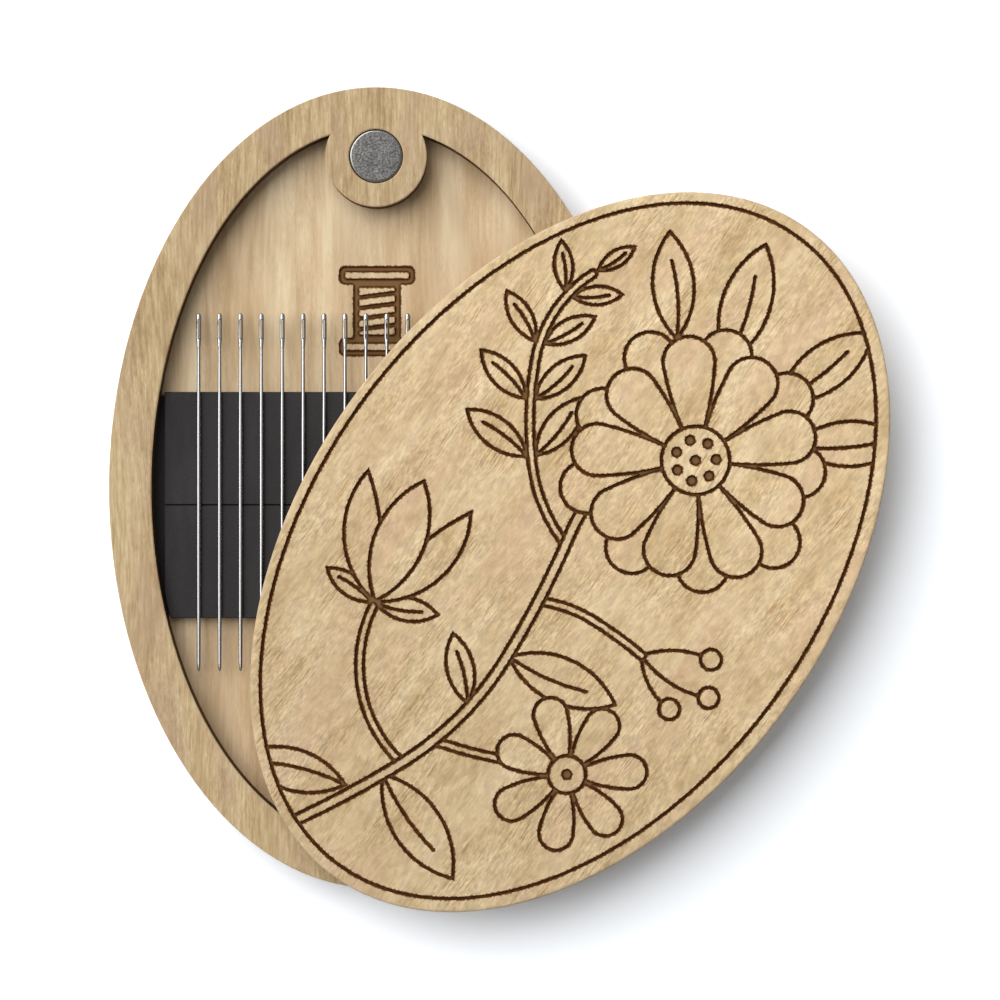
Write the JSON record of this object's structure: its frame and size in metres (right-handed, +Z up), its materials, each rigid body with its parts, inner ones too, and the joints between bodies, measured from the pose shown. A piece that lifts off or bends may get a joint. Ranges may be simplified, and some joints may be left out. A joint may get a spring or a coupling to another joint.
{
  "type": "magnetic needle box",
  "caption": "Oval plywood pocket box that holds sewing needles on magnetic tape under a lid that swings on magnets.",
  "frame": {"origin": "centre of the base board's underside, on the surface that the box lies on", "axes": "+Y along the oval towards the end with the upper magnet, +Z up through the lid"},
  "size_m": [0.0874, 0.0924, 0.009],
  "materials": {
    "base_plywood": "sanded, laser cut",
    "lid_plywood": "sanded, laser engraved",
    "magnet": "nickel plated",
    "magnetic_tape": "matt",
    "needle_steel": "polished nickel plate"
  },
  "bodies": {
    "base": {"base_plate": "base_plywood", "rim": "base_plywood", "base_magnet_upper": "magnet", "base_magnet_lower": "magnet", "upper_magnetic_strip": "magnetic_tape", "lower_magnetic_strip": "magnetic_tape"},
    "lid_pivot_magnet": {"lid_magnet_lower": "magnet"},
    "lid": {"lid": "lid_plywood", "lid_magnet_upper": "magnet"},
    "needle_01": {"needle_01": "needle_steel"},
    "needle_02": {"needle_02": "needle_steel"},
    "needle_03": {"needle_03": "needle_steel"},
    "needle_04": {"needle_04": "needle_steel"},
    "needle_05": {"needle_05": "needle_steel"},
    "needle_06": {"needle_06": "needle_steel"},
    "needle_07": {"needle_07": "needle_steel"},
    "needle_08": {"needle_08": "needle_steel"},
    "needle_09": {"needle_09": "needle_steel"},
    "needle_10": {"needle_10": "needle_steel"},
    "needle_11": {"needle_11": "needle_steel"},
    "needle_12": {"needle_12": "needle_steel"},
    "needle_13": {"needle_13": "needle_steel"},
    "needle_14": {"needle_14": "needle_steel"},
    "needle_15": {"needle_15": "needle_steel"},
    "needle_16": {"needle_16": "needle_steel"},
    "needle_17": {"needle_17": "needle_steel"},
    "needle_18": {"needle_18": "needle_steel"}
  },
  "joints": [
    {"name": "lid_lift", "type": "slide", "parent": "base", "child": "lid_pivot_magnet", "axis": [0, 0, 1], "range_m": [0, 0.03]},
    {"name": "lid_swing", "type": "hinge", "parent": "lid_pivot_magnet", "child": "lid", "pos_m": [0, -0.03645, 0.006], "axis": [0, 0, 1], "range_deg": [-143.8, 36.2]},
    {"name": "needle_01_slide", "type": "slide", "parent": "base", "child": "needle_01", "axis": [0, 1, 0], "range_m": [-0.0031, 0.0041]},
    {"name": "needle_02_slide", "type": "slide", "parent": "base", "child": "needle_02", "axis": [0, 1, 0], "range_m": [-0.0075, 0.0085]},
    {"name": "needle_03_slide", "type": "slide", "parent": "base", "child": "needle_03", "axis": [0, 1, 0], "range_m": [-0.0108, 0.0118]},
    {"name": "needle_04_slide", "type": "slide", "parent": "base", "child": "needle_04", "axis": [0, 1, 0], "range_m": [-0.0135, 0.0145]},
    {"name": "needle_05_slide", "type": "slide", "parent": "base", "child": "needle_05", "axis": [0, 1, 0], "range_m": [-0.0155, 0.0165]},
    {"name": "needle_06_slide", "type": "slide", "parent": "base", "child": "needle_06", "axis": [0, 1, 0], "range_m": [-0.0171, 0.0181]},
    {"name": "needle_07_slide", "type": "slide", "parent": "base", "child": "needle_07", "axis": [0, 1, 0], "range_m": [-0.0144, 0.0162]},
    {"name": "needle_08_slide", "type": "slide", "parent": "base", "child": "needle_08", "axis": [0, 1, 0], "range_m": [-0.0108, 0.0126]},
    {"name": "needle_09_slide", "type": "slide", "parent": "base", "child": "needle_09", "axis": [0, 1, 0], "range_m": [-0.0098, 0.0116]},
    {"name": "needle_10_slide", "type": "slide", "parent": "base", "child": "needle_10", "axis": [0, 1, 0], "range_m": [-0.0098, 0.0116]},
    {"name": "needle_11_slide", "type": "slide", "parent": "base", "child": "needle_11", "axis": [0, 1, 0], "range_m": [-0.0108, 0.0126]},
    {"name": "needle_12_slide", "type": "slide", "parent": "base", "child": "needle_12", "axis": [0, 1, 0], "range_m": [-0.0144, 0.0162]},
    {"name": "needle_13_slide", "type": "slide", "parent": "base", "child": "needle_13", "axis": [0, 1, 0], "range_m": [-0.0171, 0.0181]},
    {"name": "needle_14_slide", "type": "slide", "parent": "base", "child": "needle_14", "axis": [0, 1, 0], "range_m": [-0.0155, 0.0165]},
    {"name": "needle_15_slide", "type": "slide", "parent": "base", "child": "needle_15", "axis": [0, 1, 0], "range_m": [-0.0135, 0.0145]},
    {"name": "needle_16_slide", "type": "slide", "parent": "base", "child": "needle_16", "axis": [0, 1, 0], "range_m": [-0.0108, 0.0118]},
    {"name": "needle_17_slide", "type": "slide", "parent": "base", "child": "needle_17", "axis": [0, 1, 0], "range_m": [-0.0075, 0.0085]},
    {"name": "needle_18_slide", "type": "slide", "parent": "base", "child": "needle_18", "axis": [0, 1, 0], "range_m": [-0.0031, 0.0041]}
  ]
}
